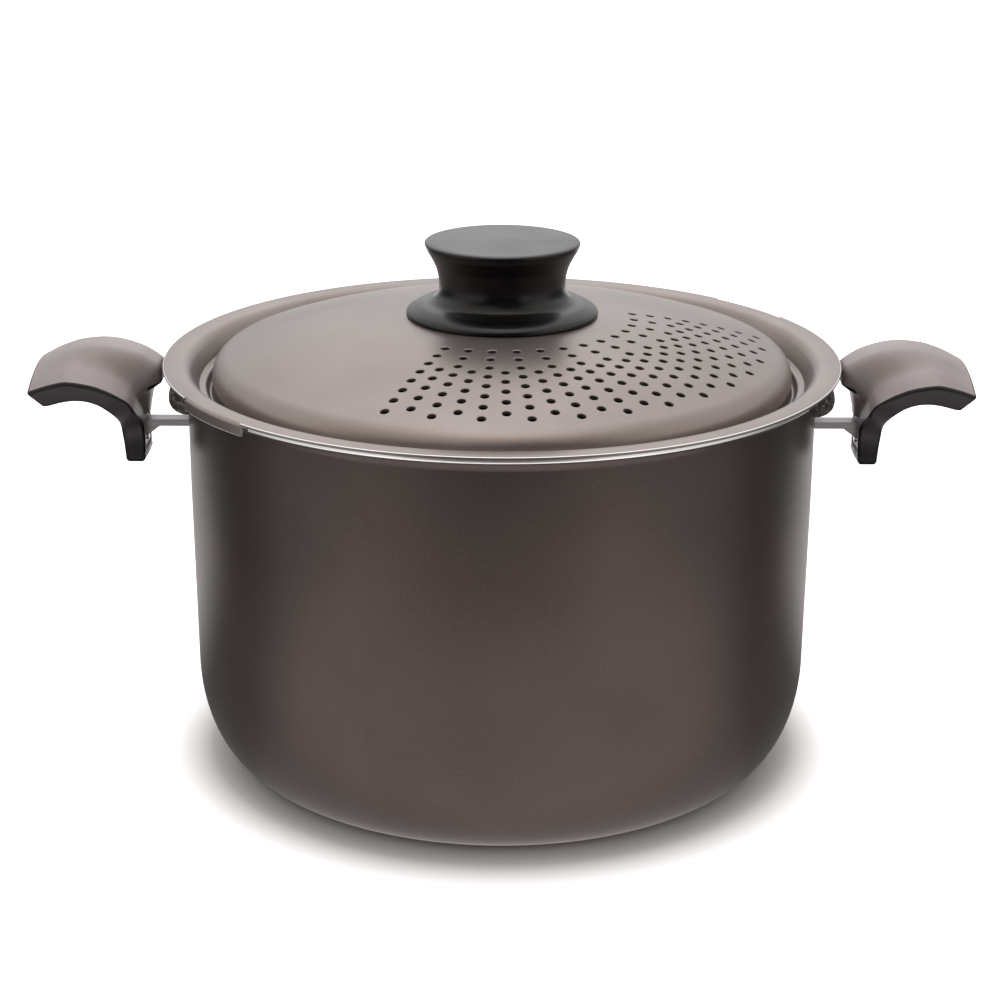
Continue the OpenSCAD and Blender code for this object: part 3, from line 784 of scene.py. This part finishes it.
def feed(tree, socket, value):
    """Links a socket to another's output, or sets its value."""
    if isinstance(value, bpy.types.NodeSocket):
        tree.links.new(value, socket)
    else:
        socket.default_value = value


def math_of(tree, operation, *values, clamp=False):
    made = add_node(tree, "ShaderNodeMath", {"operation": operation, "use_clamp": clamp})
    for socket, value in zip(made.inputs, values):
        feed(tree, socket, value)
    return made.outputs["Value"]


def grey(value):
    return (value, value, value, 1)


def greys(*stops):
    return [(place, grey(value)) for place, value in stops]


def ramp(tree, factor, stops):
    made = add_node(tree, "ShaderNodeValToRGB", Fac=factor)
    for i, (place, colour) in enumerate(stops):
        if i < 2:
            made.color_ramp.elements[i].position = place
            made.color_ramp.elements[i].color = colour
        else:
            made.color_ramp.elements.new(place).color = colour
    return made.outputs["Color"]


def object_place(tree, scale=(1, 1, 1)):
    coordinates = add_node(tree, "ShaderNodeTexCoord").outputs["Object"]
    return add_node(tree, "ShaderNodeMapping", Vector=coordinates, Scale=scale).outputs["Vector"]


def noise(tree, vector, scale, detail=3.0, roughness=0.5):
    made = add_node(tree, "ShaderNodeTexNoise", Vector=vector, Scale=scale, Detail=detail,
                    Roughness=roughness)
    return made.outputs["Fac"]


def bump(tree, height, strength, distance, normal=None):
    made = add_node(tree, "ShaderNodeBump", Height=height, Strength=strength, Distance=distance)
    if normal is not None:
        tree.links.new(normal, made.inputs["Normal"])
    return made.outputs["Normal"]


def mix_colour(tree, factor, a, b, blend="MIX"):
    made = add_node(tree, "ShaderNodeMix", {"data_type": "RGBA", "blend_type": blend})
    for index, value in ((0, factor), (6, a), (7, b)):
        feed(tree, made.inputs[index], value)
    return made.outputs[2]


def spread(tree, value, low, high, to_low, to_high):
    """Maps a value from one span to another, and clamps it there."""
    made = add_node(tree, "ShaderNodeMapRange", {"clamp": True}, Value=value, From_Min=low,
                    From_Max=high, To_Min=to_low, To_Max=to_high)
    return made.outputs["Result"]


# Materials

def metallic_coat(name, dark, light, glint, metallic, rough):
    """Satin metallic coat: fine flakes, a slow drift of tone and a faint orange peel."""
    material, tree, shader = new_material(name)
    place = object_place(tree)
    drift = noise(tree, place, 22, 2.0)
    flake = noise(tree, place, 2600, 2.0, 0.6)
    speck = add_node(tree, "ShaderNodeTexVoronoi", {"feature": "F1"}, Vector=place, Scale=5200.0)
    base = mix_colour(tree, spread(tree, drift, 0.35, 0.65, 0, 1), dark, light)
    grainy = mix_colour(tree, spread(tree, flake, 0.3, 0.7, 0.16, 0.0), base, grey(0))
    shine = ramp(tree, speck.outputs["Color"], greys((0.86, 0), (0.93, 0.35)))
    feed(tree, shader.inputs["Base Color"], mix_colour(tree, shine, grainy, glint))
    feed(tree, shader.inputs["Roughness"],
         spread(tree, flake, 0.3, 0.7, rough - 0.05, rough + 0.06))
    feed(tree, shader.inputs["Metallic"], metallic)
    peel = bump(tree, noise(tree, place, 420, 2.0), 0.12, 0.00004)
    feed(tree, shader.inputs["Normal"], bump(tree, flake, 0.10, 0.00002, peel))
    return material


def coat_dark():
    return metallic_coat("pot_coat", (0.081, 0.061, 0.056, 1), (0.091, 0.069, 0.063, 1),
                         (0.26, 0.20, 0.16, 1), 0.7, 0.34)


def coat_light():
    return metallic_coat("lid_coat", (0.29, 0.245, 0.232, 1), (0.33, 0.278, 0.262, 1),
                         (0.72, 0.55, 0.36, 1), 0.8, 0.34)


def hole_wall_painted_shade():
    """Coat painted darker inside the punched holes: painted shade for their depths."""
    return metallic_coat("hole_coat_painted_shade", (0.10, 0.085, 0.08, 1), (0.14, 0.12, 0.11, 1),
                         (0.5, 0.45, 0.4, 1), 0.6, 0.45)


def bare_metal():
    """Cut aluminium, with fine lines along the edge. On the lid's eased flange corner it is a painted
    highlight.
    """
    material, tree, shader = new_material("bare_edge_and_painted_highlight")
    split = add_node(tree, "ShaderNodeSeparateXYZ", Vector=object_place(tree))
    turn = math_of(tree, "ARCTAN2", split.outputs["Y"], split.outputs["X"])
    lines = add_node(tree, "ShaderNodeCombineXYZ", X=turn, Z=split.outputs["Z"])
    stretched = add_node(tree, "ShaderNodeMapping", Vector=lines.outputs["Vector"],
                         Scale=(3, 1, 4000))
    streak = noise(tree, stretched.outputs["Vector"], 1.0, 4.0)
    tones = [(0.3, (0.94, 0.93, 0.92, 1)), (0.7, (0.98, 0.975, 0.97, 1))]
    feed(tree, shader.inputs["Base Color"], ramp(tree, streak, tones))
    feed(tree, shader.inputs["Roughness"], spread(tree, streak, 0.3, 0.7, 0.22, 0.38))
    feed(tree, shader.inputs["Normal"], bump(tree, streak, 0.15, 0.00003))
    feed(tree, shader.inputs["Metallic"], 1.0)
    return material


def moulded(name, dark, light, rough, peel, gloss=0.5):
    """Moulded plastic: a satin skin with a fine grain and slow patches of sheen."""
    material, tree, shader = new_material(name)
    place = object_place(tree)
    patch = noise(tree, place, 60, 3.0)
    grain = noise(tree, place, 2400, 3.0, 0.6)
    feed(tree, shader.inputs["Base Color"],
         mix_colour(tree, spread(tree, patch, 0.35, 0.65, 0, 1), dark, light))
    sheen = math_of(tree, "ADD", spread(tree, patch, 0.3, 0.7, rough - 0.03, rough + 0.03),
                    spread(tree, grain, 0.3, 0.7, -0.03, 0.03))
    feed(tree, shader.inputs["Roughness"], sheen)
    feed(tree, shader.inputs["Normal"], bump(tree, grain, peel, 0.00003))
    feed(tree, shader.inputs["Specular IOR Level"], gloss)
    return material


def handle_plastic():
    return moulded("handle_plastic", (0.262, 0.218, 0.211, 1), (0.298, 0.250, 0.243, 1), 0.34, 0.2)


# Painted shade: a dark copy of the handle's plastic for the grip's flat ends, where shade falls.
def handle_end_painted_shade():
    return moulded("handle_end_painted_shade", (0.030, 0.024, 0.025, 1), (0.040, 0.032, 0.033, 1), 0.55, 0.3)


# Painted shade: a near-black copy of the handle's plastic on the bevelled edges, standing in for the
# dark line their rounding reflects.
def handle_edge_painted_shade():
    return moulded("handle_edge_painted_shade", (0.006, 0.005, 0.005, 1), (0.010, 0.008, 0.008, 1), 0.50, 0.1)


def knob_plastic():
    return moulded("knob_plastic", (0.0024, 0.0019, 0.0019, 1), (0.0040, 0.0032, 0.0033, 1),
                   0.26, 0.2, 0.42)


def cast_metal():
    """Rough dark casting with bright specks where the scale has come off."""
    material, tree, shader = new_material("lug_cast")
    lumps = noise(tree, object_place(tree), 700, 5.0, 0.65)
    tones = [(0.40, (0.060, 0.052, 0.048, 1)), (0.58, (0.16, 0.140, 0.130, 1)),
             (0.68, (0.45, 0.43, 0.41, 1))]
    feed(tree, shader.inputs["Base Color"], ramp(tree, lumps, tones))
    feed(tree, shader.inputs["Roughness"], spread(tree, lumps, 0.4, 0.7, 0.62, 0.38))
    feed(tree, shader.inputs["Normal"], bump(tree, lumps, 0.8, 0.0004))
    feed(tree, shader.inputs["Metallic"], 0.5)
    return material


def bright_metal(name, dark, light, rough, scale):
    """Plain metal with fine marks, which a scale that isn't even draws out along one direction."""
    material, tree, shader = new_material(name)
    marks = noise(tree, object_place(tree, scale), 1.0, 4.0, 0.6)
    feed(tree, shader.inputs["Base Color"],
         mix_colour(tree, spread(tree, marks, 0.3, 0.7, 0, 1), dark, light))
    feed(tree, shader.inputs["Roughness"],
         spread(tree, marks, 0.3, 0.7, rough - 0.06, rough + 0.08))
    feed(tree, shader.inputs["Normal"], bump(tree, marks, 0.2, 0.00004))
    feed(tree, shader.inputs["Metallic"], 1.0)
    return material


def bracket_steel():
    return bright_metal("bracket_steel", (0.20, 0.19, 0.19, 1), (0.33, 0.32, 0.315, 1), 0.36,
                        (60, 1500, 1500))


def plated_steel():
    return bright_metal("fastener_steel", (0.55, 0.55, 0.56, 1), (0.68, 0.68, 0.70, 1), 0.28,
                        (900, 900, 900))


def brass():
    return bright_metal("insert_brass", (0.62, 0.44, 0.18, 1), (0.76, 0.56, 0.26, 1), 0.30,
                        (900, 900, 900))


# Stage

def turned_towards(a, b, angle):
    """Two directions at right angles, both turned by an angle, the first of them towards the second."""
    return a * math.cos(angle) + b * math.sin(angle), b * math.cos(angle) - a * math.sin(angle)


def build_camera():
    """A camera in front of the pot and above it, aimed a little past the flange's middle."""
    back = Vector((0, -math.cos(ELEVATION), math.sin(ELEVATION)))
    ahead, right = -back, Vector((1, 0, 0))
    up = right.cross(ahead)
    pan, tilt = [math.atan((seen - PICTURE / 2) / FOCAL) for seen in SEEN]
    right, ahead = turned_towards(right, ahead, pan)
    ahead, up = turned_towards(ahead, up, tilt)
    right, up = turned_towards(right, up, ROLL)
    data = bpy.data.cameras.new("camera")
    data.sensor_width = 36.0
    data.lens = FOCAL / PICTURE * data.sensor_width
    data.clip_start, data.clip_end = 0.05, 20
    camera = link_object("camera", data)
    pose = Matrix((right, up, -ahead)).transposed().to_4x4()
    pose.translation = Vector((0, 0, FLANGE_TOP)) + back * DISTANCE
    camera.matrix_world = pose
    bpy.context.scene.camera = camera


def by_ray(tree, lit, mirrored, seen):
    """What lights the objects, what shows in their reflections and what the camera sees."""
    path = add_node(tree, "ShaderNodeLightPath")
    glossy = math_of(tree, "ADD", path.outputs["Is Glossy Ray"],
                     path.outputs["Is Transmission Ray"], clamp=True)
    shader = lit
    for share, other in ((glossy, mirrored), (path.outputs["Is Camera Ray"], seen)):
        mixed = add_node(tree, "ShaderNodeMixShader")
        for socket, value in zip(mixed.inputs, (share, shader, other)):
            feed(tree, socket, value)
        shader = mixed.outputs[0]
    return shader


def studio_walls(tree, direction):
    """Tones of the walls by how far behind the pot they lie, from the camera's side to the back."""
    split = add_node(tree, "ShaderNodeSeparateXYZ", Vector=direction)
    back = spread(tree, split.outputs["Y"], -1, 1, 0, 1)
    level = ramp(tree, back, greys((0.0, 0.05), (0.06, 0.05), (0.10, 0.72), (0.48, 0.64),
                                   (0.58, 0.10), (0.84, 0.10), (0.97, 0.50)))
    warm = (0.42, (1.0, 0.93, 0.83, 1))
    above = ramp(tree, back, greys((0.12, 0.05)) + [warm]
                 + greys((0.62, 0.95), (0.84, 0.88), (0.98, 0.60)))
    above = mix_colour(tree, 1.0, above, grey(2.1), "MULTIPLY")
    aside = math_of(tree, "ABSOLUTE", split.outputs["X"])
    sides = ramp(tree, aside, greys((0.08, 1.0), (0.25, 0.76), (0.6, 0.50)))
    above = mix_colour(tree, 1.0, above, sides, "MULTIPLY")
    return mix_colour(tree, spread(tree, split.outputs["Z"], -0.05, 0.22, 0, 1), level, above)


def build_world():
    """A studio: bright behind and above, cards left and right of the camera, black between them."""
    world = bpy.data.worlds.new("studio")
    world.use_nodes = True
    tree = world.node_tree
    tree.nodes.clear()
    direction = add_node(tree, "ShaderNodeTexCoord").outputs["Generated"]
    aim = add_node(tree, "ShaderNodeVectorMath", {"operation": "DOT_PRODUCT"})
    feed(tree, aim.inputs[0], direction)
    feed(tree, aim.inputs[1], (0.0, 0.5, 0.87))
    glow = ramp(tree, spread(tree, aim.outputs["Value"], -0.5, 0.7, 0, 1),
                [(0.0, grey(0.08)), (1.0, (1.0, 0.99, 0.98, 1))])
    tones = {"lit": (glow, 0.95), "mirrored": (studio_walls(tree, direction), 1.0),
             "seen": (grey(1.0), 1.0)}
    shaders = {ray: add_node(tree, "ShaderNodeBackground", Color=tone, Strength=strength).outputs[0]
               for ray, (tone, strength) in tones.items()}
    add_node(tree, "ShaderNodeOutputWorld", Surface=by_ray(tree, **shaders))
    bpy.context.scene.world = world


def build_floor():
    """A pale table, which glows a little more away from the pot so that it runs out to white; the glow
    held back near the pot paints its shadow there.
    """
    near, middle, far = (0.30, -0.45), (0.30, 0.0), (1.6, 4.0)
    mesh = bpy.data.meshes.new("floor")
    outline = [(side * x, y, 0)
               for side, ends in ((-1, (near, middle, far)), (1, (far, middle, near)))
               for x, y in ends]
    mesh.from_pydata(outline, [], [tuple(range(len(outline)))])
    floor = link_object("floor", mesh)
    mesh.materials.append(table_top())


def table_top():
    """The floor's material: its tone, its glow by the distance from the pot, which paints a shadow near
    it, and the glowing bands that reflections see of it, painted reflections.
    """
    material, tree, shader = new_material("floor")
    place = object_place(tree)
    tones = [(0.3, (0.74, 0.710, 0.706, 1)), (0.7, (0.76, 0.733, 0.730, 1))]
    feed(tree, shader.inputs["Base Color"], ramp(tree, noise(tree, place, 3.0, 2.0), tones))
    feed(tree, shader.inputs["Roughness"], 0.9)
    feed(tree, shader.inputs["Specular IOR Level"], 0.0)
    away = add_node(tree, "ShaderNodeVectorMath", {"operation": "LENGTH"})
    feed(tree, away.inputs[0], place)
    # Painted shadow: no glow at the pot's foot, rising over a few centimetres round it.
    level = ramp(tree, away.outputs["Value"], greys((0.116, 0.0), (0.122, 0.23), (0.131, 0.57),
                                                    (0.139, 0.78), (0.6, 0.82)))
    glow = add_node(tree, "ShaderNodeEmission", Color=(1.0, 0.985, 0.98, 1), Strength=level)
    split = add_node(tree, "ShaderNodeSeparateXYZ", Vector=place)
    # Painted reflection: for reflections only, the floor glows in bands, bright in front of the pot,
    # dim across its middle and bright again behind, to shade the pot's walls.
    along = spread(tree, split.outputs["Y"], -0.45, 0.25, 0, 1)
    shown = ramp(tree, along, greys((0.0, 0.85), (0.16, 1.5), (0.45, 1.4), (0.57, 0.25),
                                    (0.70, 0.20), (0.84, 1.1)))
    table = add_node(tree, "ShaderNodeEmission", Color=(1.0, 0.96, 0.95, 1), Strength=shown)
    both = add_node(tree, "ShaderNodeAddShader")
    for socket, value in zip(both.inputs, (shader, glow)):
        feed(tree, socket, value.outputs[0])
    mixed = by_ray(tree, shader.outputs[0], table.outputs[0], both.outputs[0])
    feed(tree, tree.nodes["Material Output"].inputs["Surface"], mixed)
    return material


def build_lamp(name, place, size, power, mirrored=True):
    """A rectangular lamp aimed at the middle of the pot."""
    data = bpy.data.lights.new(name, "AREA")
    data.shape = "RECTANGLE"
    data.size, data.size_y = size
    data.energy = power
    lamp = link_object(name, data)
    lamp.visible_glossy = mirrored
    lamp.location = place
    lamp.rotation_mode = "QUATERNION"
    towards = Vector((0, 0, LAMP_AIM_Z)) - Vector(place)
    lamp.rotation_quaternion = towards.to_track_quat("-Z", "Y")


def build_stage():
    build_camera()
    build_world()
    build_floor()
    build_lamp("key", (-0.5, -0.9, 1.0), (0.8, 0.8), 0.7)
    build_lamp("fill", (0.9, -0.7, 0.7), (0.7, 0.7), 0.5)
    build_lamp("top", (0.0, 0.4, 1.4), (1.8, 1.0), 9, mirrored=False)


# Assembly

def dress(names, material, ease):
    """Gives CAD nodes their material and softens their edges."""
    for name in names:
        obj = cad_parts[name]
        obj.data.materials.clear()
        wear(obj, [material])
        soften(obj, ease, segments=3, angle=40)


def build_part():
    looks = {"pot_coat": coat_dark(), "lid_coat": coat_light(), "hole_coat_painted_shade": hole_wall_painted_shade(),
             "bare_edge_and_painted_highlight": bare_metal(), "handle_plastic": handle_plastic(),
             "handle_edge_painted_shade": handle_edge_painted_shade(), "handle_end_painted_shade": handle_end_painted_shade(),
             "knob_plastic": knob_plastic(), "lug_cast": cast_metal()}
    pot = build_pot(looks)
    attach(pot, "pot")
    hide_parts("pot_body")
    lid = build_lid(looks)
    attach(lid, "lid")
    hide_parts("strainer_lid")
    knob = build_knob(looks)
    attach(knob, "lid")
    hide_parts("knob")
    build_handle(looks, 0, "grip_left", "handle_left")
    build_handle(looks, math.pi, "grip_right", "handle_right")
    build_lug(looks, 180, "lug_left", "lock_lug_left")
    build_lug(looks, 0, "lug_right", "lock_lug_right")
    dress(["bracket_left", "bracket_right"], bracket_steel(), 0.35 * MM)
    dress(["handle_washer_left", "handle_washer_right", "handle_screw_left", "handle_screw_right",
           "knob_washer", "knob_screw"], plated_steel(), 0.12 * MM)
    dress(["knob_insert"], brass(), 0.15 * MM)


build_stage()
build_part()
bpy.context.scene.view_settings.view_transform = "Standard"
